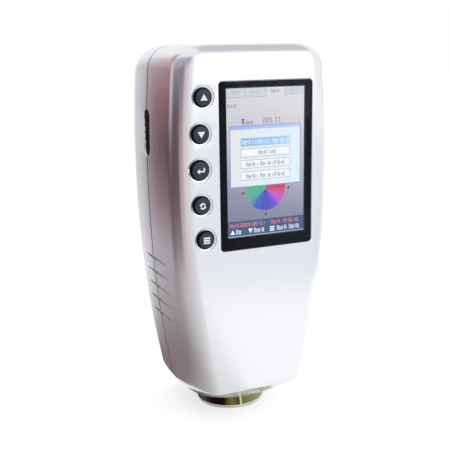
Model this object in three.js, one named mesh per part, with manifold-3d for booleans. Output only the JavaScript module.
// Hand-held colorimeter that stands on its measuring nose.
// Lengths are millimetres. X runs to the right of the display, Y from the front face to the back, Z up.
// The origin is on the surface that the nose stands on, under the middle of the whole instrument.

import * as THREE from 'three';
import { mergeVertices } from 'three/addons/utils/BufferGeometryUtils.js';
import Module from 'manifold-3d';

const wasm = await Module();
wasm.setup();

// Overall sizes
const bodyWidth = 73.6;
const bodyDepth = 61.5;
const overallHeight = 165.7;
const noseShow = 7;               // height of nose that shows under the body
const wall = 2.4;
const gap = 0.3;                  // usual clearance between two pieces
const overrun = 1;                // how far every cutting solid runs past what it cuts

// Body outline, front view and side view
const halfWidthMax = bodyWidth / 2;
const bodyHeight = overallHeight - noseShow;
const creaseRise = 9.3;           // from the underside to the edge where the flat front face ends
const widestShare = 0.686;        // height of the widest place, of the body height
const creaseWidthShare = 0.758;   // body width at the crease, of the greatest width
const topWidthShare = 0.927;      // body width at the top before it is rounded
const lowerTaperPower = 2.3;
const upperTaperPower = 2;
const creaseHeight = noseShow + creaseRise;
const widestHeight = noseShow + bodyHeight * widestShare;
const topCorner = 9.7;
const topFrontRound = 6;
const topBackRound = 15;
const backCorner = 10;
const backCornerLow = 14.5;
const frontCorner = 8;
const frontCornerLowWidth = 9.7;
const frontCornerLowDepth = 30;
const frontCornerPower = 2.4;
const cornerGrowthShare = 0.559;  // height where the front corners start to grow, of the body height
const cornerGrowthHeight = noseShow + bodyHeight * cornerGrowthShare;
const sideBowlPower = 1.55;
const backBowlPower = 1.31;
const frontBowlPower = 1;
const partingShare = 0.545;       // where the two shells meet, of the body depth
const parting = bodyDepth * partingShare;

// Integrating sphere, which sets the size of the nose round it
const apertureRadius = 4;
const rimThick = 1.2;
const sphereBore = 12.8;
const sphereWall = 1.6;
const sphereFlangeWidth = 2.8;
const sphereRadius = sphereBore + sphereWall;
const sphereFlange = sphereRadius + sphereFlangeWidth;
const sphereLevel = rimThick + Math.sqrt(sphereBore ** 2 - apertureRadius ** 2);

// Nose and measuring opening
const noseClear = 0.5;            // between the sphere and the nose ring
const noseSkin = 1;
const noseFoot = 0.8;             // width of the ring where it stands on the aperture plate
const noseFlare = 2;              // how far the ring widens upwards
const noseMargin = 0.6;           // flat underside left round the nose
const rimInset = 0.2;
const rimChamfer = 0.4;
const apertureSpread = 1.2;       // how far the opening widens towards the sample
const noseBore = sphereRadius + noseClear;
const noseNeck = noseBore + noseSkin;
const noseLowRadius = noseBore + noseFoot;
const noseRadius = noseLowRadius + noseFlare;
const rimRadius = noseLowRadius - rimInset;
const apertureFlare = apertureRadius + apertureSpread;
const noseDepth = bodyDepth / 2;
const seatRadius = noseRadius + noseMargin;

// Display window, module and frame
const windowWidth = 42.8;
const windowHeight = 70.2;
const windowCorner = 1.5;
const windowThick = 1;
const windowFit = 0.15;
const windowShift = 5;            // window centre to the right of the middle
const windowTopMargin = 14.8;     // window edge below the top of the body
const windowLevel = overallHeight - windowTopMargin - windowHeight / 2;
const ledgeWidth = 1.6;
const ledgeThick = 0.7;
const moduleInset = 0.9;          // module edge inside the window edge
const moduleThick = 2.6;
const moduleFront = windowThick + ledgeThick;
const moduleBack = moduleFront + moduleThick;
const moduleWidth = windowWidth - 2 * moduleInset;
const moduleHeight = windowHeight - 2 * moduleInset;
const framePlate = 1.2;
const frameBorder = 5;
const frameFoot = 4;

// Keys and their switches
const keyRadius = 3.6;
const enterExtra = 0.3;           // the middle key is this much wider in radius
const keyProud = 1.5;
const keyDomeRise = 0.4;
const keyEdge = 0.4;
const keyCrownShares = [0.6, 0.7]; // a point of the dome: outwards and upwards
const keyPitch = 14.6;
const keyColumnGap = 9;           // from the window edge to the middle key
const keyBow = 1.95;              // how far the column bends in towards the window at its ends
const keyNames = ['up', 'down', 'enter', 'back', 'menu'];
const guideLength = 1.8;          // guide tube behind the wall
const guideWall = 1.2;
const flangeLip = 1.5;
const keyFlangeThick = 1.1;
const dishWidth = 1.25;
const dishDepth = 1.4;
const keyTravel = 0.6;
const pressGap = 0.1;             // left between a pressed key and its switch
const switchSize = 6.2;
const switchBase = 1.8;
const plungerShow = 0.6;
const plungerRadius = 1.7;
const guideEnd = wall + guideLength;
const flangeFront = guideEnd + gap;
const flangeBack = flangeFront + keyFlangeThick;

// Main board, as far behind the keys as their switches need
const boardThick = 1.6;
const boardFront = flangeBack + keyTravel + pressGap + plungerShow + switchBase;
const boardBack = boardFront + boardThick;
const boardDrop = 20;             // board edge below the window
const boardHead = 1;              // board edge above the window
const boardSideGap = 1.3;
const boardTabRise = 6.6;
const boardTabGap = 5.8;          // from the tab to the case bosses
const boardLow = windowLevel - windowHeight / 2 - boardDrop;
const boardHigh = windowLevel + windowHeight / 2 + boardHead;

// Measure key on the left side
const slotWidth = 7.3;
const slotLength = 20.3;
const slotRise = 13;              // above the window centre
const measureLevel = windowLevel + slotRise;
const measureRecess = 0.6;
const measureFlange = 1.1;
const measureFlangeThick = 1;
const flangeRoom = 0.6;           // between a side flange and the bowed wall
const ribPitch = 3;
const ribHeight = 0.4;
const ribWidth = 1.2;
const ribCount = 5;
const sideCutDepth = 5.8;         // how deep the holes through a side wall are cut

// Side boards that carry the measure switch, the power switch and the socket
const cardThick = 1.2;
const cardDepth = 17;
const cardOverhang = 4;           // card beyond its outermost switch or socket
const measureCardReach = 11;      // half the height of the measure key's card
const postThick = 3;
const postGrip = 3;
const postSide = 1.6;

// Power switch on the right side
const powerRise = 19;             // above the window centre
const powerSlotWidth = 5.5;
const powerSlotLength = 12;
const powerTravel = 4;
const powerFlange = 1;
const powerSwitchWidth = 6;
const powerSwitchLength = 11;
const pegRadius = 0.8;
const pegReach = 2.6;
const pegRoom = 0.5;
const ridgePitch = 1.8;
const ridgeWidth = 0.8;
const ridgeCount = 3;
const powerLevel = windowLevel + powerRise;

// Charging and data socket on the right side
const socketDrop = 8;             // below the window centre
const socketWidth = 7.7;
const socketHeight = 3.9;
const socketWall = 0.4;
const socketLength = 9.2;
const socketHollow = 6.5;
const socketRecess = 1;
const socketHoleMargin = 0.7;
const tongueWidth = 4.6;
const tongueThick = 1;
const socketLevel = windowLevel - socketDrop;

// Grip grooves
const grooveCount = 5;
const groovePitch = 6.6;
const grooveTopDrop = 43.1;       // first groove below the window centre
const grooveStart = 15.5;
const grooveEnd = 45;
const grooveWidth = 1;
const grooveDepth = 0.7;

// Case screws, bosses and board pillars
const caseScrewInset = 8.6;       // from the side of the body
const caseScrewLowInset = 10.4;
const caseScrewTopDrop = 8.7;
const caseScrewLowRise = 19.7;    // above the crease
const bossRadius = 3.2;
const screwRadius = 1.25;
const screwHead = 2.3;
const screwHeadThick = 1.8;
const screwLength = 14;
const pilotRadius = screwRadius + gap;
const wellRadius = 3;
const wellWall = 1.2;
const wellFloor = 4;
const crossWidth = 0.6;
const crossDepth = 0.8;
const crossShare = 0.6;           // half length of the cross, of the head radius
const pillarRadius = 2.3;
const boardScrewRadius = 0.9;
const boardScrewHead = 2;
const boardScrewHeadThick = 1.5;
const boardScrewLength = 5;
const pillarInset = 4.8;          // from the board's side
const pillarLowRise = 5.3;
const pillarTopSide = 14;
const pillarTopRise = 3.6;

// Bracket, lamp and sensor
const flangeThick = 1.5;
const bracketThick = 1.5;
const bracketSideGap = 2.2;
const bracketFront = 24.5;
const bracketDepth = 12.5;
const earWidth = 6.3;
const earRise = 9.6;
const opticsScrewRise = 6;
const viewTilt = THREE.MathUtils.degToRad(8);
const lampTilt = THREE.MathUtils.degToRad(50);
const noseBulgeShares = [0.6, 0.4]; // a point of the nose's flare: outwards and upwards
const portRadius = 3.2;
const portBoss = 6;
const bossReach = 2;
const tubeRadius = 5.5;
const tubeBore = 4.3;
const tubeLength = 22;
const lensRadius = 4;
const lensThick = 2.6;
const lensEdge = 1.2;
const lensReach = 4;
const lensBulgeShares = [0.6, 0.4]; // a point of each lens face: outwards and towards the edge
const sensorBoardSize = 22;
const sensorBoardThick = 1.4;
const sensorChipSize = 5;
const sensorChipThick = 1.7;
const lampRadius = 2.2;
const lampLength = 3.4;
const lampTipShares = [0.7, 0.9]; // a point of the lamp's tip: outwards and along
const lampBaseShare = 0.6;        // straight part of the lamp, of its length
const lampPort = 2.6;
const lampBoss = 4.5;
const lampBoardRadius = 7;

// Battery and the parts on the main board
const packSideGap = 1.8;
const packHeight = 54;
const packThick = 10.5;
const packCorner = 3;
const packDrop = 10;              // pack centre below the window centre
const padThick = 1;
const padInset = 7;
const leadRadius = 1;
const leadSide = 15;
const leadRise = 5;               // how far the lead stands above the pack and the plug
const plugWidth = 6;
const plugHeight = 5;
const plugDepth = 4;
const shieldSize = 24;
const shieldHeight = 2.5;
const shieldSkin = 0.3;
const shieldDrop = 10;
const buzzerRadius = 4.5;
const buzzerHeight = 3;
const buzzerHole = 1;
const buzzerHoleDepth = 1.5;
const buzzerInset = 13.4;         // from the board's side
const connectorWidth = 18;
const connectorHeight = 3.5;
const connectorDepth = 1.5;
const connectorDrop = 8;          // below the window
const ribbonThick = 0.3;
const ribbonGrip = 4;
const displayRibbonWidth = 16;
const sensorRibbonWidth = 8;
const sensorSocketRise = 5;
const sensorSocketHeight = 3;
const sensorSocketDepth = 2;

// Facets
const cornerSteps = 5;
const innerCornerSteps = 3;
const coreCornerSteps = 4;
const plateSteps = 3;
const slotSteps = 4;
const roundSides = 16;
const smallSides = 8;
const sphereSides = 20;
const noseSides = 32;
const leadSides = 6;
const leadSteps = 12;
const bowlShares = [1, 0.9, 0.68, 0.36, 0];
const bodySteps = 7;
const topAngleShares = [0.25, 0.46, 0.65, 0.83, 1];

// Solids

// Makes one closed solid of a geometry: shared corners merged, slivers dropped, faces turned outwards.
function solid(geometry) {
  const plain = new THREE.BufferGeometry();
  plain.setAttribute('position', geometry.getAttribute('position').clone());
  const count = plain.getAttribute('position').count;
  const inOrder = Array.from({ length: count }, (_, i) => i);
  plain.setIndex(geometry.index ? Array.from(geometry.index.array) : inOrder);
  const merged = mergeVertices(plain);
  const source = Array.from(merged.index.array);
  const triangles = [];
  for (let i = 0; i < source.length; i += 3) {
    const [a, b, c] = source.slice(i, i + 3);
    if (a !== b && b !== c && c !== a) triangles.push(a, b, c);
  }
  const points = new Float32Array(merged.getAttribute('position').array);
  if (signedVolume(points, triangles) < 0) {
    for (let i = 0; i < triangles.length; i += 3) {
      [triangles[i], triangles[i + 1]] = [triangles[i + 1], triangles[i]];
    }
  }
  return new wasm.Manifold(new wasm.Mesh({
    numProp: 3,
    vertProperties: points,
    triVerts: new Uint32Array(triangles),
  }));
}

function signedVolume(points, triangles) {
  const corner = (i) => new THREE.Vector3().fromArray(points, 3 * i);
  let sum = 0;
  for (let i = 0; i < triangles.length; i += 3) {
    sum += corner(triangles[i]).dot(corner(triangles[i + 1]).cross(corner(triangles[i + 2])));
  }
  return sum / 6;
}

function geometryOf(manifold) {
  const mesh = manifold.getMesh();
  const geometry = new THREE.BufferGeometry();
  geometry.setAttribute('position', new THREE.BufferAttribute(new Float32Array(mesh.vertProperties), 3));
  geometry.setIndex(Array.from(mesh.triVerts));
  geometry.computeVertexNormals();
  return geometry;
}

function joined(first, ...others) {
  return others.reduce((sum, other) => sum.add(other), first);
}

function cut(first, ...tools) {
  return tools.reduce((rest, tool) => rest.subtract(tool), first);
}

// A box given by its lowest and highest value along each axis.
function box([x0, x1], [y0, y1], [z0, z1]) {
  const geometry = new THREE.BoxGeometry(x1 - x0, y1 - y0, z1 - z0);
  geometry.translate((x0 + x1) / 2, (y0 + y1) / 2, (z0 + z1) / 2);
  return solid(geometry);
}

// A rod along Y, at place (x, z), from y0 to y1; its radius may change to endRadius at y1.
function rodY(radius, y0, y1, x, z, sides = roundSides, endRadius = radius) {
  const geometry = new THREE.CylinderGeometry(endRadius, radius, y1 - y0, sides);
  geometry.translate(x, (y0 + y1) / 2, z);
  return solid(geometry);
}

// A rod along Z, from z0 to z1, at place (x, y).
function rodZ(radius, z0, z1, x = 0, y = 0, sides = roundSides) {
  const geometry = new THREE.CylinderGeometry(radius, radius, z1 - z0, sides);
  geometry.rotateX(Math.PI / 2);
  geometry.translate(x, y, (z0 + z1) / 2);
  return solid(geometry);
}

// A rod along X, from x0 to x1, at place (y, z).
function rodX(radius, x0, x1, y, z, sides = smallSides) {
  const geometry = new THREE.CylinderGeometry(radius, radius, x1 - x0, sides);
  geometry.rotateZ(Math.PI / 2);
  geometry.translate((x0 + x1) / 2, y, z);
  return solid(geometry);
}

// A solid of revolution about Z from a closed outline of [radius, height] points.
function turned(outline, sides = roundSides) {
  const closed = [...outline, outline[0]].map(([r, h]) => new THREE.Vector2(r, h));
  const geometry = new THREE.LatheGeometry(closed, sides);
  geometry.rotateX(Math.PI / 2);
  return solid(geometry);
}

function roundedRectangle(width, height, corner) {
  const x = width / 2;
  const y = height / 2;
  const shape = new THREE.Shape();
  shape.moveTo(x, y - corner);
  shape.absarc(x - corner, y - corner, corner, 0, Math.PI / 2);
  shape.absarc(corner - x, y - corner, corner, Math.PI / 2, Math.PI);
  shape.absarc(corner - x, corner - y, corner, Math.PI, 1.5 * Math.PI);
  shape.absarc(x - corner, corner - y, corner, 1.5 * Math.PI, 2 * Math.PI);
  return shape;
}

// A plate with rounded corners that faces the front: width along X, height along Z, from y0 to y1.
function facePlate(width, height, corner, y0, y1, x, z, steps = plateSteps) {
  const geometry = new THREE.ExtrudeGeometry(roundedRectangle(width, height, corner), {
    depth: y1 - y0, bevelEnabled: false, curveSegments: steps,
  });
  geometry.rotateX(Math.PI / 2);
  geometry.translate(x, y1, z);
  return solid(geometry);
}

// A plate with rounded corners that faces a side: width along Y, height along Z, from x0 to x1.
function sidePlate(width, height, corner, x0, x1, y, z, steps = slotSteps) {
  const geometry = new THREE.ExtrudeGeometry(roundedRectangle(width, height, corner), {
    depth: x1 - x0, bevelEnabled: false, curveSegments: steps,
  });
  geometry.rotateX(Math.PI / 2);
  geometry.rotateZ(Math.PI / 2);
  geometry.translate(x0, y, z);
  return solid(geometry);
}

// A flat ribbon whose middle line runs through [y, z] points, as wide as given along X.
function ribbon(points, thick, width, x) {
  const line = points.map(([y, z]) => new THREE.Vector2(y, z));
  const sides = line.map((point, i) => {
    const before = line[Math.max(i - 1, 0)];
    const after = line[Math.min(i + 1, line.length - 1)];
    const along = after.clone().sub(before).normalize();
    return new THREE.Vector2(-along.y, along.x).multiplyScalar(thick / 2);
  });
  const left = line.map((point, i) => point.clone().add(sides[i]));
  const right = line.map((point, i) => point.clone().sub(sides[i])).reverse();
  const geometry = new THREE.ExtrudeGeometry(new THREE.Shape([...left, ...right]), {
    depth: width, bevelEnabled: false,
  });
  geometry.rotateX(Math.PI / 2);
  geometry.rotateZ(Math.PI / 2);
  geometry.translate(x - width / 2, 0, 0);
  return solid(geometry);
}

// Nodes

const instrument = new THREE.Group();
instrument.position.y = -(bodyDepth - keyProud) / 2;

function finish(colour, roughness, metalness) {
  return new THREE.MeshStandardMaterial({ color: colour, roughness, metalness });
}

const silverPlastic = () => finish('#c9c6cb', 0.38, 0.35);
const blackPlastic = () => finish('#1d1f22', 0.45, 0);
const greyPlastic = () => finish('#3b3d41', 0.6, 0);
const whiteCoating = () => finish('#f2f1ea', 0.9, 0);
const boardGreen = () => finish('#1f5a35', 0.5, 0);
const steel = () => finish('#a9abad', 0.3, 1);

function node(name, manifold, material, parent = instrument) {
  const mesh = new THREE.Mesh(geometryOf(manifold), material);
  mesh.name = name;
  parent.add(mesh);
  return mesh;
}

// Body outline

function mix(a, b, share) {
  return a + (b - a) * share;
}

// Half the body width at a height, before the top is rounded.
function halfWidthAt(z) {
  if (z >= widestHeight) {
    const up = (z - widestHeight) / (overallHeight - widestHeight);
    return halfWidthMax * (1 - (1 - topWidthShare) * up ** upperTaperPower);
  }
  const down = (widestHeight - Math.max(z, creaseHeight)) / (widestHeight - creaseHeight);
  return halfWidthMax * (1 - (1 - creaseWidthShare) * down ** lowerTaperPower);
}

// How far an edge of this radius has rolled in at a height near the top.
function rollIn(radius, z) {
  const up = z - (overallHeight - radius);
  return up > 0 ? radius - Math.sqrt(Math.max(radius ** 2 - up ** 2, 0)) : 0;
}

// The body's level section: half width, front, back and corner sizes.
function sectionAt(z) {
  const fall = cornerGrowthHeight - Math.max(z, creaseHeight);
  const low = Math.max(fall / (cornerGrowthHeight - creaseHeight), 0);
  const sink = Math.max((creaseHeight - z) / creaseRise, 0);
  const bowl = (power) => Math.max(1 - sink ** power, 0) ** (1 / power);
  return {
    half: seatRadius + (halfWidthAt(z) - seatRadius) * bowl(sideBowlPower) - rollIn(topCorner, z),
    front: (noseDepth - seatRadius) * (1 - (1 - sink) ** frontBowlPower) + rollIn(topFrontRound, z),
    back: mix(noseDepth + seatRadius, bodyDepth, bowl(backBowlPower)) - rollIn(topBackRound, z),
    frontX: mix(mix(frontCorner, frontCornerLowWidth, low), seatRadius, sink),
    frontY: mix(mix(frontCorner, frontCornerLowDepth, low ** frontCornerPower), seatRadius, sink),
    rear: mix(mix(backCorner, backCornerLow, low), seatRadius, sink),
  };
}

// Points round one level section drawn in by inset, at height z.
function sectionRing(section, inset, z, steps) {
  const half = section.half - inset;
  const front = section.front + inset;
  const back = section.back - inset;
  const deep = back - front;
  const fx = Math.min(Math.max(section.frontX - inset, inset / 2), half);
  const fy = Math.min(Math.max(section.frontY - inset, inset / 2), deep / 2);
  const r = Math.min(Math.max(section.rear - inset, inset / 2), half, deep / 2);
  const ring = [];
  const quarter = (cx, cy, rx, ry, start) => {
    for (let i = 0; i <= steps; i += 1) {
      const angle = start + (Math.PI / 2) * (i / steps);
      ring.push([cx + rx * Math.cos(angle), cy + ry * Math.sin(angle), z]);
    }
  };
  quarter(half - r, back - r, r, r, 0);
  quarter(r - half, back - r, r, r, Math.PI / 2);
  quarter(fx - half, front + fy, fx, fy, Math.PI);
  quarter(half - fx, front + fy, fx, fy, 1.5 * Math.PI);
  return ring;
}

// A closed solid through rings that all have the same number of points, lowest ring first.
function loft(rings) {
  const size = rings[0].length;
  const points = rings.flat(2);
  const triangles = [];
  for (let k = 0; k + 1 < rings.length; k += 1) {
    for (let i = 0; i < size; i += 1) {
      const next = (i + 1) % size;
      const [a, b, c, d] = [k * size + i, k * size + next, (k + 1) * size + next, (k + 1) * size + i];
      triangles.push(a, b, c, a, c, d);
    }
  }
  const lid = (rings.length - 1) * size;
  for (let i = 1; i + 1 < size; i += 1) {
    triangles.push(0, i + 1, i);
    triangles.push(lid, lid + i, lid + i + 1);
  }
  const geometry = new THREE.BufferGeometry();
  geometry.setAttribute('position', new THREE.BufferAttribute(new Float32Array(points), 3));
  geometry.setIndex(triangles);
  return solid(geometry);
}

function ringHeights() {
  const heights = bowlShares.map((share) => creaseHeight - share * creaseRise);
  const shoulder = overallHeight - topBackRound;
  for (let i = 1; i <= bodySteps; i += 1) {
    heights.push(mix(creaseHeight, shoulder, i / bodySteps));
  }
  topAngleShares.forEach((share) => {
    heights.push(shoulder + topBackRound * Math.sin(share * Math.PI / 2));
  });
  return heights;
}

// The whole body drawn in by inset on every side.
function bodySolid(inset, steps) {
  return loft(ringHeights().map((z) => {
    const height = mix(noseShow + inset, overallHeight - inset, (z - noseShow) / bodyHeight);
    return sectionRing(sectionAt(z), inset, height, steps);
  }));
}

const outerBody = bodySolid(0, cornerSteps);
const coreBody = bodySolid(wall / 2, coreCornerSteps);
const innerBody = bodySolid(wall, innerCornerSteps);
const skin = outerBody.subtract(innerBody);
const frontHalf = box([-bodyWidth, bodyWidth], [-overrun, parting], [-overrun, overallHeight + overrun]);
const backHalf = box(
  [-bodyWidth, bodyWidth], [parting, bodyDepth + overrun], [-overrun, overallHeight + overrun],
);

// Places shared by shells and what they carry

const windowLeft = windowShift - windowWidth / 2;
const enterX = windowLeft - keyColumnGap;
const bowSpan = ((keyNames.length - 1) / 2) * keyPitch;
const bowRadius = (bowSpan ** 2 + keyBow ** 2) / (2 * keyBow);
const keys = keyNames.map((name, i) => {
  const rise = ((keyNames.length - 1) / 2 - i) * keyPitch;
  return {
    name,
    radius: name === 'enter' ? keyRadius + enterExtra : keyRadius,
    x: enterX + bowRadius - Math.sqrt(bowRadius ** 2 - rise ** 2),
    z: windowLevel + rise,
  };
});

const caseScrewTop = overallHeight - caseScrewTopDrop;
const caseScrewLow = creaseHeight + caseScrewLowRise;
const caseScrewSide = halfWidthAt(caseScrewTop) - caseScrewInset;
const caseScrewLowSide = halfWidthAt(caseScrewLow) - caseScrewLowInset;
const boardHalf = halfWidthAt(boardLow) - wall - boardSideGap;
const boardTabHalf = caseScrewSide - bossRadius - boardTabGap;
const pillarLowSide = boardHalf - pillarInset;
const caseScrews = [
  [-caseScrewSide, caseScrewTop],
  [caseScrewSide, caseScrewTop],
  [-caseScrewLowSide, caseScrewLow],
  [caseScrewLowSide, caseScrewLow],
];
const boardScrews = [
  [-pillarLowSide, boardLow + pillarLowRise],
  [pillarLowSide, boardLow + pillarLowRise],
  [-pillarTopSide, boardHigh + pillarTopRise],
  [pillarTopSide, boardHigh + pillarTopRise],
];
const bracketLow = sphereLevel + flangeThick;
const bracketHalf = sectionAt(bracketLow).half - wall - bracketSideGap;
const earInner = bracketHalf - earWidth;
const opticsScrewSide = bracketHalf - earWidth / 2;
const opticsScrewLevel = bracketLow + bracketThick + opticsScrewRise;
const opticsScrews = [[-opticsScrewSide, opticsScrewLevel], [opticsScrewSide, opticsScrewLevel]];

// Measure key, switch and card, counted inwards from the left wall.
const slotTop = measureLevel + slotLength / 2;
const measureFace = halfWidthAt(measureLevel) - measureRecess;
const measureFlangeFace = halfWidthAt(slotTop) - wall - flangeRoom;
const measureFlangeBack = measureFlangeFace - measureFlangeThick;
const measurePlunger = measureFlangeBack - keyTravel - pressGap;
const measureBase = measurePlunger - plungerShow;
const measureCardFace = measureBase - switchBase;
const measureCard = {
  face: measureCardFace,
  low: measureLevel - measureCardReach,
  high: measureLevel + measureCardReach,
  side: -1,
};

// Socket and power switch, counted inwards from the right wall.
const socketMouth = halfWidthAt(socketLevel) - socketRecess;
const portCardFace = socketMouth - socketLength;
const portCard = {
  face: portCardFace,
  low: socketLevel - socketWidth / 2 - cardOverhang,
  high: powerLevel + powerSwitchLength / 2 + cardOverhang,
  side: 1,
};
const cardBack = parting + cardDepth / 2;

// Two slotted posts of the rear shell that hold a card by its back edge.
function cardPosts(card) {
  const inner = card.face - cardThick;
  const span = (a, b) => (card.side > 0 ? [a, b] : [-b, -a]);
  return [card.low + cardOverhang, card.high - cardOverhang].map((z) => {
    const post = box(
      span(inner - postSide, card.face + postSide),
      [cardBack - postGrip, bodyDepth - overrun],
      [z - postThick / 2, z + postThick / 2],
    );
    const slot = box(
      span(inner - gap, card.face + gap),
      [cardBack - postGrip - overrun, cardBack + gap],
      [z - postThick, z + postThick],
    );
    return post.subtract(slot).intersect(coreBody);
  });
}

function grooves() {
  const solids = [];
  for (let i = 0; i < grooveCount; i += 1) {
    const z = windowLevel - grooveTopDrop - i * groovePitch;
    const floor = halfWidthAt(z) - grooveDepth;
    const level = [z - grooveWidth / 2, z + grooveWidth / 2];
    solids.push(box([floor, bodyWidth], [grooveStart, grooveEnd], level));
    solids.push(box([-bodyWidth, -floor], [grooveStart, grooveEnd], level));
  }
  return solids;
}

// Holes that cross the parting line and so are cut from both shells.
function sharedHoles() {
  const outside = halfWidthMax + overrun;
  const inside = halfWidthMax - sideCutDepth;
  return [
    sidePlate(slotWidth, slotLength, slotWidth / 2, -outside, -inside, parting, measureLevel),
    sidePlate(powerSlotWidth, powerSlotLength, powerSlotWidth / 2, inside, outside, parting, powerLevel),
    sidePlate(
      socketHeight + 2 * socketHoleMargin, socketWidth + 2 * socketHoleMargin, socketHoleMargin,
      inside, outside, parting, socketLevel,
    ),
    rodZ(noseNeck + gap, 0, noseShow + wall + overrun, 0, noseDepth, noseSides),
    ...grooves(),
  ];
}

// Shells

function frontShell() {
  const windowBox = (shrink, y0, y1, corner) => facePlate(
    windowWidth - 2 * shrink, windowHeight - 2 * shrink, corner, y0, y1, windowShift, windowLevel,
  );
  const guides = keys.map((key) => rodY(key.radius + gap + guideWall, wall / 2, guideEnd, key.x, key.z));
  const caseBosses = caseScrews.map(([x, z]) => rodY(bossRadius, 0, parting, x, z, smallSides));
  const pillars = boardScrews.map(([x, z]) => rodY(pillarRadius, wall / 2, boardFront, x, z, smallSides));
  const opticsPillars = opticsScrews.map(([x, z]) => rodY(pillarRadius, 0, bracketFront, x, z, smallSides));
  const added = joined(...guides, ...caseBosses, ...pillars, ...opticsPillars).intersect(coreBody);
  const dishSlope = (dishWidth - gap) / dishDepth;
  const keyHoles = keys.flatMap((key) => [
    rodY(key.radius + gap, -overrun, guideEnd + overrun, key.x, key.z),
    rodY(
      key.radius + dishWidth + dishSlope * overrun, -overrun, dishDepth, key.x, key.z,
      roundSides, key.radius + gap,
    ),
  ]);
  const pilots = [
    ...caseScrews.map(([x, z]) => rodY(
      pilotRadius, parting - screwLength, parting + overrun, x, z, smallSides,
    )),
    ...boardScrews.map(([x, z]) => rodY(
      boardScrewRadius + gap, boardFront - boardScrewLength, boardFront + overrun, x, z, smallSides,
    )),
    ...opticsScrews.map(([x, z]) => rodY(
      boardScrewRadius + gap, bracketFront - boardScrewLength, bracketFront + overrun, x, z, smallSides,
    )),
  ];
  return cut(
    skin.intersect(frontHalf).add(added),
    windowBox(-windowFit, -overrun, windowThick, windowCorner),
    windowBox(ledgeWidth, -overrun, moduleFront + overrun, windowCorner),
    windowBox(moduleInset - gap, moduleFront, moduleBack, windowCorner),
    ...keyHoles,
    ...pilots,
    ...sharedHoles(),
  );
}

function rearShell() {
  const tubes = caseScrews.map(([x, z]) => rodY(wellRadius + wellWall, parting, bodyDepth, x, z, smallSides));
  const added = joined(...tubes).intersect(coreBody);
  const wells = caseScrews.flatMap(([x, z]) => [
    rodY(wellRadius, parting + wellFloor, bodyDepth + overrun, x, z, smallSides),
    rodY(pilotRadius, parting - overrun, parting + wellFloor + overrun, x, z, smallSides),
  ]);
  return cut(
    joined(skin.intersect(backHalf), added, ...cardPosts(measureCard), ...cardPosts(portCard)),
    ...wells,
    ...sharedHoles(),
  );
}

node('front_shell', frontShell(), silverPlastic());
node('rear_shell', rearShell(), silverPlastic());

// Display

node('display_window', facePlate(
  windowWidth, windowHeight, windowCorner, 0, windowThick, windowShift, windowLevel,
), finish('#0c0d10', 0.08, 0));

node('display_module', facePlate(
  moduleWidth, moduleHeight, windowCorner, moduleFront, moduleBack, windowShift, windowLevel,
), finish('#8f93b4', 0.3, 0));

function displayFrame() {
  const back = moduleBack + framePlate;
  const plate = facePlate(
    moduleWidth, moduleHeight, windowCorner, moduleBack, back, windowShift, windowLevel,
  );
  const opening = facePlate(
    moduleWidth - 2 * frameBorder, moduleHeight - 2 * frameBorder, windowCorner,
    moduleBack - overrun, back + overrun, windowShift, windowLevel,
  );
  const feet = [[-1, -1], [1, -1], [-1, 1], [1, 1]].map(([sx, sz]) => {
    const x = windowShift + sx * (moduleWidth / 2 - frameBorder / 2);
    const z = windowLevel + sz * (moduleHeight / 2 - frameBorder / 2);
    const half = frameFoot / 2;
    return box([x - half, x + half], [moduleBack, boardFront], [z - half, z + half]);
  });
  return joined(plate.subtract(opening), ...feet);
}

node('display_frame', displayFrame(), greyPlastic());

const moduleBottom = windowLevel - moduleHeight / 2;
const connectorTop = windowLevel - windowHeight / 2 - connectorDrop;
node('display_connector', box(
  [windowShift - connectorWidth / 2, windowShift + connectorWidth / 2],
  [boardFront - connectorDepth, boardFront],
  [connectorTop - connectorHeight, connectorTop],
), whiteCoating());

// Ribbon points between two ends given as [y, z], at shares of the way along Y and along Z.
function ribbonPath(from, to, shares) {
  return [from, ...shares.map(([y, z]) => [mix(from[0], to[0], y), mix(from[1], to[1], z)]), to];
}

const displayRibbonShares = [[0, 0.2], [0.25, 0.4], [0.75, 0.6], [1, 0.8]];
node('display_ribbon', ribbon(ribbonPath(
  [Math.max((moduleFront + moduleBack) / 2, wall + gap + ribbonThick / 2), moduleBottom - gap],
  [boardFront - connectorDepth / 2, connectorTop + gap],
  displayRibbonShares,
), ribbonThick, displayRibbonWidth, windowShift), finish('#b5762a', 0.5, 0));

// Main board

function mainBoard() {
  const plate = box([-boardHalf, boardHalf], [boardFront, boardBack], [boardLow, boardHigh]);
  const tab = box(
    [-boardTabHalf, boardTabHalf], [boardFront, boardBack], [boardHigh - overrun, boardHigh + boardTabRise],
  );
  const holes = boardScrews.map(([x, z]) => rodY(
    boardScrewRadius + gap, boardFront - overrun, boardBack + overrun, x, z, smallSides,
  ));
  return cut(plate.add(tab), ...holes);
}

node('main_board', mainBoard(), boardGreen());

function processorShield() {
  const half = shieldSize / 2;
  const z = windowLevel - shieldDrop;
  const can = box(
    [windowShift - half, windowShift + half], [boardBack, boardBack + shieldHeight], [z - half, z + half],
  );
  const inner = half - shieldSkin;
  const hollow = box(
    [windowShift - inner, windowShift + inner], [boardBack - overrun, boardBack + shieldHeight - shieldSkin],
    [z - inner, z + inner],
  );
  return can.subtract(hollow);
}

node('processor_shield', processorShield(), steel());

const buzzerX = buzzerInset - boardHalf;
const buzzerTop = boardBack + buzzerHeight;
node('buzzer', cut(
  rodY(buzzerRadius, boardBack, buzzerTop, buzzerX, windowLevel),
  rodY(buzzerHole, buzzerTop - buzzerHoleDepth, buzzerTop + overrun, buzzerX, windowLevel, smallSides),
), blackPlastic());

// Keys: a domed cap in a guide tube, kept in by a flange behind it

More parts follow.
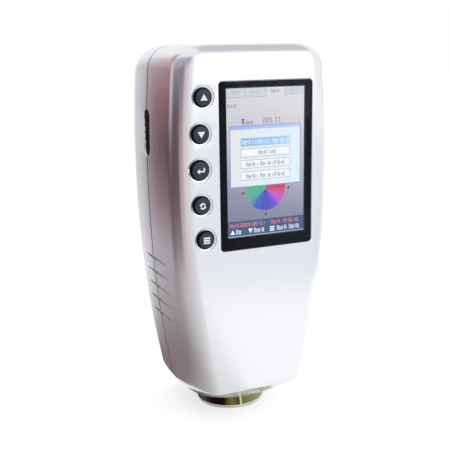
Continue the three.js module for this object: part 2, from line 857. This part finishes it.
function roundKey(key) {
  const lip = key.radius + flangeLip;
  const domeBase = keyProud - keyDomeRise;
  const shape = [
    [0, -flangeBack],
    [lip, -flangeBack],
    [lip, -flangeFront],
    [key.radius, -flangeFront],
    [key.radius, domeBase - keyEdge],
    [key.radius - keyEdge, domeBase],
    [key.radius * keyCrownShares[0], domeBase + keyDomeRise * keyCrownShares[1]],
    [0, keyProud],
  ];
  const profile = shape.map(([r, h]) => new THREE.Vector2(r, h));
  const geometry = new THREE.LatheGeometry(profile, roundSides);
  geometry.rotateX(Math.PI);
  geometry.translate(key.x, 0, key.z);
  return solid(geometry);
}

// A push switch whose plunger points along -Y, standing on a board face at y.
function pushSwitch(x, z, y) {
  const half = switchSize / 2;
  const base = box([x - half, x + half], [y - switchBase, y], [z - half, z + half]);
  const tip = flangeBack + keyTravel + pressGap;
  return base.add(rodY(plungerRadius, tip, y - switchBase / 2, x, z, smallSides));
}

keys.forEach((key) => {
  node(`${key.name}_key`, roundKey(key), blackPlastic());
  node(`${key.name}_switch`, pushSwitch(key.x, key.z, boardFront), steel());
});

// Measure key and its switch on the left card

function measureKey() {
  const face = sidePlate(
    slotWidth - 2 * gap, slotLength - 2 * gap, slotWidth / 2 - gap,
    -measureFace, -measureFlangeBack, parting, measureLevel,
  );
  const flange = sidePlate(
    slotWidth + 2 * measureFlange, slotLength + 2 * measureFlange, slotWidth / 2 + measureFlange,
    -measureFlangeFace, -measureFlangeBack, parting, measureLevel,
  );
  const ribs = Array.from({ length: ribCount }, (_, i) => {
    const z = measureLevel + (i - (ribCount - 1) / 2) * ribPitch;
    return box(
      [-measureFace - ribHeight, -measureFace + ribHeight],
      [parting - slotWidth / 2 + 2 * gap, parting + slotWidth / 2 - 2 * gap],
      [z - ribWidth / 2, z + ribWidth / 2],
    );
  });
  return joined(face, flange, ...ribs);
}

node('measure_key', measureKey(), blackPlastic());

node('measure_switch', joined(
  box(
    [-measureBase, -measureCardFace],
    [parting - switchSize / 2, parting + switchSize / 2],
    [measureLevel - switchSize / 2, measureLevel + switchSize / 2],
  ),
  rodX(plungerRadius, -measurePlunger, -measureCardFace - switchBase / 2, parting, measureLevel),
), steel());

function cardPlate(card) {
  const [a, b] = card.side > 0 ? [card.face - cardThick, card.face] : [-card.face, cardThick - card.face];
  return box([a, b], [cardBack - cardDepth, cardBack], [card.low, card.high]);
}

node('measure_card', cardPlate(measureCard), boardGreen());
node('port_card', cardPlate(portCard), boardGreen());

// Power switch: a thumb piece in a slot, with a peg in the switch body

const thumbLength = powerSlotLength - powerTravel - 2 * gap;
const powerRest = powerLevel - powerTravel / 2;
const powerFace = halfWidthAt(powerLevel) - measureRecess;
const powerFlangeHalf = thumbLength / 2 + powerTravel;
const powerFlangeFace = halfWidthAt(powerRest + powerTravel + powerFlangeHalf) - wall - flangeRoom;
const powerFlangeBack = powerFlangeFace - powerFlange;

function powerSlider() {
  const thumb = sidePlate(
    powerSlotWidth - 2 * gap, thumbLength, powerSlotWidth / 2 - gap,
    powerFlangeBack, powerFace, parting, powerRest,
  );
  const flange = box(
    [powerFlangeBack, powerFlangeFace],
    [parting - powerSlotWidth / 2 - powerFlange, parting + powerSlotWidth / 2 + powerFlange],
    [powerRest - powerFlangeHalf, powerRest + powerFlangeHalf],
  );
  const ridges = Array.from({ length: ridgeCount }, (_, i) => {
    const z = powerRest + (i - (ridgeCount - 1) / 2) * ridgePitch;
    return box(
      [powerFace - ribHeight, powerFace + ribHeight],
      [parting - powerSlotWidth / 2 + 2 * gap, parting + powerSlotWidth / 2 - 2 * gap],
      [z - ridgeWidth / 2, z + ridgeWidth / 2],
    );
  });
  const peg = rodX(pegRadius, powerFlangeBack - pegReach, powerFlangeFace, parting, powerRest, smallSides);
  return joined(thumb, flange, peg, ...ridges);
}

node('power_slider', powerSlider(), blackPlastic());

function powerSwitch() {
  const top = powerFlangeBack - pegReach / 2;
  const body = box(
    [portCardFace, top],
    [parting - powerSwitchWidth / 2, parting + powerSwitchWidth / 2],
    [powerLevel - powerSwitchLength / 2, powerLevel + powerSwitchLength / 2],
  );
  const reach = powerTravel / 2 + pegRadius + pegRoom;
  const groove = box(
    [powerFlangeBack - pegReach - gap, top + overrun],
    [parting - pegRadius - pegRoom, parting + pegRadius + pegRoom],
    [powerLevel - reach, powerLevel + reach],
  );
  return body.subtract(groove);
}

node('power_switch', powerSwitch(), steel());

function chargeSocket() {
  const shell = box(
    [portCardFace, socketMouth],
    [parting - socketHeight / 2, parting + socketHeight / 2],
    [socketLevel - socketWidth / 2, socketLevel + socketWidth / 2],
  );
  const inner = [socketHeight / 2 - socketWall, socketWidth / 2 - socketWall];
  const hollow = box(
    [socketMouth - socketHollow, socketMouth + overrun],
    [parting - inner[0], parting + inner[0]],
    [socketLevel - inner[1], socketLevel + inner[1]],
  );
  const tongue = box(
    [socketMouth - socketHollow - overrun, socketMouth - socketRecess],
    [parting - tongueThick / 2, parting + tongueThick / 2],
    [socketLevel - tongueWidth / 2, socketLevel + tongueWidth / 2],
  );
  return shell.subtract(hollow).add(tongue);
}

node('charge_socket', chargeSocket(), steel());

// Battery

const padBack = bodyDepth - wall;
const packWidth = 2 * (portCardFace - cardThick - postSide - packSideGap);
const packBack = padBack - padThick;
const packFront = packBack - packThick;
const packLevel = windowLevel - packDrop;
const packTop = packLevel + packHeight / 2;

function batteryPack() {
  const geometry = new THREE.ExtrudeGeometry(roundedRectangle(packWidth, packThick, packCorner), {
    depth: packHeight, bevelEnabled: false, curveSegments: plateSteps,
  });
  geometry.translate(0, (packFront + packBack) / 2, packTop - packHeight);
  return solid(geometry);
}

node('battery_pack', batteryPack(), finish('#2c4f8f', 0.5, 0));
node('battery_pad', box(
  [padInset - packWidth / 2, packWidth / 2 - padInset],
  [packBack, padBack],
  [packTop - packHeight + padInset, packTop - padInset],
), greyPlastic());

const plugX = leadSide;
const plugLevel = packTop + plugHeight;
node('battery_plug', box(
  [plugX - plugWidth / 2, plugX + plugWidth / 2],
  [boardBack, boardBack + plugDepth],
  [plugLevel - plugHeight / 2, plugLevel + plugHeight / 2],
), whiteCoating());

function batteryLead() {
  const packMiddle = (packFront + packBack) / 2;
  const start = new THREE.Vector3(leadSide, packMiddle, packTop + gap);
  const end = new THREE.Vector3(plugX, boardBack + plugDepth + gap, plugLevel);
  const path = new THREE.CatmullRomCurve3([
    start,
    new THREE.Vector3(leadSide, packMiddle, packTop + leadRise),
    new THREE.Vector3(leadSide, (packMiddle + end.y) / 2, plugLevel + leadRise),
    new THREE.Vector3(leadSide, end.y + plugDepth, plugLevel),
    end,
  ]);
  const section = new THREE.Shape(Array.from({ length: leadSides }, (_, i) => {
    const angle = (i / leadSides) * 2 * Math.PI;
    return new THREE.Vector2(leadRadius * Math.cos(angle), leadRadius * Math.sin(angle));
  }));
  return solid(new THREE.ExtrudeGeometry(section, {
    steps: leadSteps, bevelEnabled: false, extrudePath: path,
  }));
}

node('battery_lead', batteryLead(), finish('#b3262a', 0.5, 0));

// Nose

function aboutNose(outline, sides) {
  return turned(outline, sides).translate([0, noseDepth, 0]);
}

const neckTop = sphereLevel - flangeThick - gap;
node('nose_ring', aboutNose([
  [noseBore, rimThick],
  [noseLowRadius, rimThick],
  [mix(noseLowRadius, noseRadius, noseBulgeShares[0]), mix(rimThick, noseShow, noseBulgeShares[1])],
  [noseRadius, noseShow - gap],
  [noseRadius, noseShow],
  [noseNeck, noseShow],
  [noseNeck, neckTop],
  [noseBore, neckTop],
], noseSides), finish('#d9d6c8', 0.06, 1));

node('aperture_plate', aboutNose([
  [apertureFlare, 0],
  [rimRadius - rimChamfer, 0],
  [rimRadius, rimChamfer],
  [rimRadius, rimThick],
  [apertureRadius, rimThick],
], noseSides), finish('#e8e8e6', 0.3, 0.4));

// Integrating sphere in two halves, and what stands on it

function ball(radius) {
  const geometry = new THREE.SphereGeometry(radius, sphereSides, sphereSides / 2);
  geometry.rotateX(Math.PI / 2);
  return solid(geometry);
}

const viewPort = new THREE.Group();
viewPort.position.set(
  sphereBore * Math.sin(2 * viewTilt), noseDepth, sphereLevel + sphereBore * Math.cos(2 * viewTilt),
);
viewPort.rotation.y = viewTilt;
const lampPlace = new THREE.Group();
lampPlace.position.set(0, noseDepth, sphereLevel);
lampPlace.rotation.x = -lampTilt;
instrument.add(viewPort, lampPlace);

// Moves a solid from the frame of a turned group into the sphere's own frame.
function fromGroup(manifold, group) {
  group.updateMatrix();
  const moved = geometryOf(manifold).applyMatrix4(group.matrix);
  moved.translate(0, -noseDepth, -sphereLevel);
  return solid(moved);
}

function sphereHalf(upper) {
  const reach = sphereFlange + overrun;
  const keep = upper
    ? box([-reach, reach], [-reach, reach], [0, reach])
    : box([-reach, reach], [-reach, reach], [-reach, 0]);
  const flange = upper ? rodZ(sphereFlange, 0, flangeThick, 0, 0, sphereSides)
    : rodZ(sphereFlange, -flangeThick, 0, 0, 0, sphereSides);
  const added = [flange];
  const tools = [ball(sphereBore)];
  if (upper) {
    added.push(fromGroup(rodZ(portBoss, -bossReach, bossReach), viewPort));
    added.push(fromGroup(rodZ(lampBoss, sphereBore, sphereRadius + bossReach), lampPlace));
    tools.push(fromGroup(rodZ(portRadius, -bossReach - overrun, bossReach + overrun), viewPort));
    tools.push(fromGroup(rodZ(lampPort, 0, sphereRadius + bossReach + overrun), lampPlace));
  } else {
    const floor = rimThick - sphereLevel;
    tools.push(box([-reach, reach], [-reach, reach], [-reach, floor]));
    tools.push(rodZ(apertureRadius, -reach, 0));
  }
  const half = joined(ball(sphereRadius).intersect(keep), ...added);
  return cut(half, ...tools).translate([0, noseDepth, sphereLevel]);
}

node('sphere_lower', sphereHalf(false), whiteCoating());
node('sphere_upper', sphereHalf(true), whiteCoating());

function opticsBracket() {
  const high = bracketLow + bracketThick;
  const ring = rodZ(sphereFlange, bracketLow, high, 0, noseDepth, sphereSides);
  const arms = box(
    [-bracketHalf, bracketHalf], [bracketFront, bracketFront + bracketDepth], [bracketLow, high],
  );
  const hole = rodZ(sphereRadius + gap, bracketLow - overrun, high + overrun, 0, noseDepth, sphereSides);
  const ears = [[-bracketHalf, -earInner], [earInner, bracketHalf]].map((span) => box(
    span, [bracketFront, bracketFront + bracketThick], [bracketLow, high + earRise],
  ));
  const holes = opticsScrews.map(([x, z]) => rodY(
    boardScrewRadius + gap, bracketFront - overrun, bracketFront + bracketThick + overrun, x, z, smallSides,
  ));
  return cut(joined(ring.add(arms).subtract(hole), ...ears), ...holes);
}

node('optics_bracket', opticsBracket(), steel());

const tubeStart = bossReach + gap;
const tubeEnd = tubeStart + tubeLength;
node('lens_tube', cut(
  rodZ(tubeRadius, tubeStart, tubeEnd),
  rodZ(tubeBore, tubeStart - overrun, tubeEnd + overrun),
), blackPlastic(), viewPort);

const lensMiddle = tubeStart + lensReach;
const lensBulge = mix(lensThick, lensEdge, lensBulgeShares[1]) / 2;
node('lens', turned([
  [0, lensMiddle - lensThick / 2],
  [lensRadius * lensBulgeShares[0], lensMiddle - lensBulge],
  [lensRadius, lensMiddle - lensEdge / 2],
  [lensRadius, lensMiddle + lensEdge / 2],
  [lensRadius * lensBulgeShares[0], lensMiddle + lensBulge],
  [0, lensMiddle + lensThick / 2],
]), finish('#dfeaf2', 0.05, 0), viewPort);

const sensorHalf = sensorBoardSize / 2;
const sensorBoardLow = tubeEnd + gap;
node('sensor_board', box(
  [-sensorHalf, sensorHalf], [-sensorHalf, sensorHalf], [sensorBoardLow, sensorBoardLow + sensorBoardThick],
), boardGreen(), viewPort);
node('sensor_chip', box(
  [-sensorChipSize / 2, sensorChipSize / 2],
  [-sensorChipSize / 2, sensorChipSize / 2],
  [tubeEnd - sensorChipThick, tubeEnd],
), blackPlastic(), viewPort);

const lampSeat = sphereRadius + bossReach;
node('lamp_board', rodZ(
  lampBoardRadius, lampSeat + gap, lampSeat + gap + cardThick,
), boardGreen(), lampPlace);
node('lamp', turned([
  [0, lampSeat - lampLength],
  [lampRadius * lampTipShares[0], lampSeat - lampLength * lampTipShares[1]],
  [lampRadius, lampSeat - lampLength * lampBaseShare],
  [lampRadius, lampSeat],
  [0, lampSeat],
], smallSides), finish('#fff6d8', 0.2, 0), lampPlace);

// Sensor ribbon from the tilted board to its socket on the main board

const sensorSocketLow = boardLow + sensorSocketRise;
const sensorTop = sensorBoardLow + sensorBoardThick;
const ribbonX = viewPort.position.x + sensorTop * Math.sin(viewTilt);
const sensorTopLevel = viewPort.position.z + sensorTop * Math.cos(viewTilt)
  + (sensorRibbonWidth / 2) * Math.tan(viewTilt) + gap + ribbonThick;
node('sensor_socket', box(
  [ribbonX - sensorRibbonWidth / 2, ribbonX + sensorRibbonWidth / 2],
  [boardBack, boardBack + sensorSocketDepth],
  [sensorSocketLow, sensorSocketLow + sensorSocketHeight],
), whiteCoating());

const sensorFront = noseDepth - sensorHalf;
const socketMiddle = boardBack + sensorSocketDepth / 2;
const sensorRibbonShares = [[0.5, 0.25], [1, 0.7]];
node('sensor_ribbon', ribbon([
  [sensorFront + ribbonGrip, sensorTopLevel],
  ...ribbonPath([sensorFront, sensorTopLevel], [socketMiddle, sensorSocketLow - gap], sensorRibbonShares),
], ribbonThick, sensorRibbonWidth, ribbonX), finish('#b5762a', 0.5, 0));

// Screws, all put in from the back

function screw(radius, head, headThick, length, seat, x, z) {
  return joined(
    rodY(head, seat, seat + headThick, x, z, smallSides),
    rodY(radius, seat - length, seat + headThick / 2, x, z, smallSides),
  );
}

// The cross in a screw head whose outer face is at crown.
function crossRecess(head, crown, x, z) {
  const depth = [crown - crossDepth, crown + overrun];
  const bar = head * crossShare;
  return joined(
    box([x - bar, x + bar], depth, [z - crossWidth / 2, z + crossWidth / 2]),
    box([x - crossWidth / 2, x + crossWidth / 2], depth, [z - bar, z + bar]),
  );
}

const caseSeat = parting + wellFloor;
caseScrews.forEach(([x, z], i) => {
  const piece = screw(screwRadius, screwHead, screwHeadThick, screwLength, caseSeat, x, z);
  const recess = crossRecess(screwHead, caseSeat + screwHeadThick, x, z);
  node(`case_screw_${i + 1}`, piece.subtract(recess), steel());
});

function smallScrews(name, places, seat) {
  places.forEach(([x, z], i) => {
    const piece = screw(boardScrewRadius, boardScrewHead, boardScrewHeadThick, boardScrewLength, seat, x, z);
    node(`${name}_${i + 1}`, piece, steel());
  });
}

smallScrews('board_screw', boardScrews, boardBack);
smallScrews('optics_screw', opticsScrews, bracketFront + bracketThick);

export default instrument;
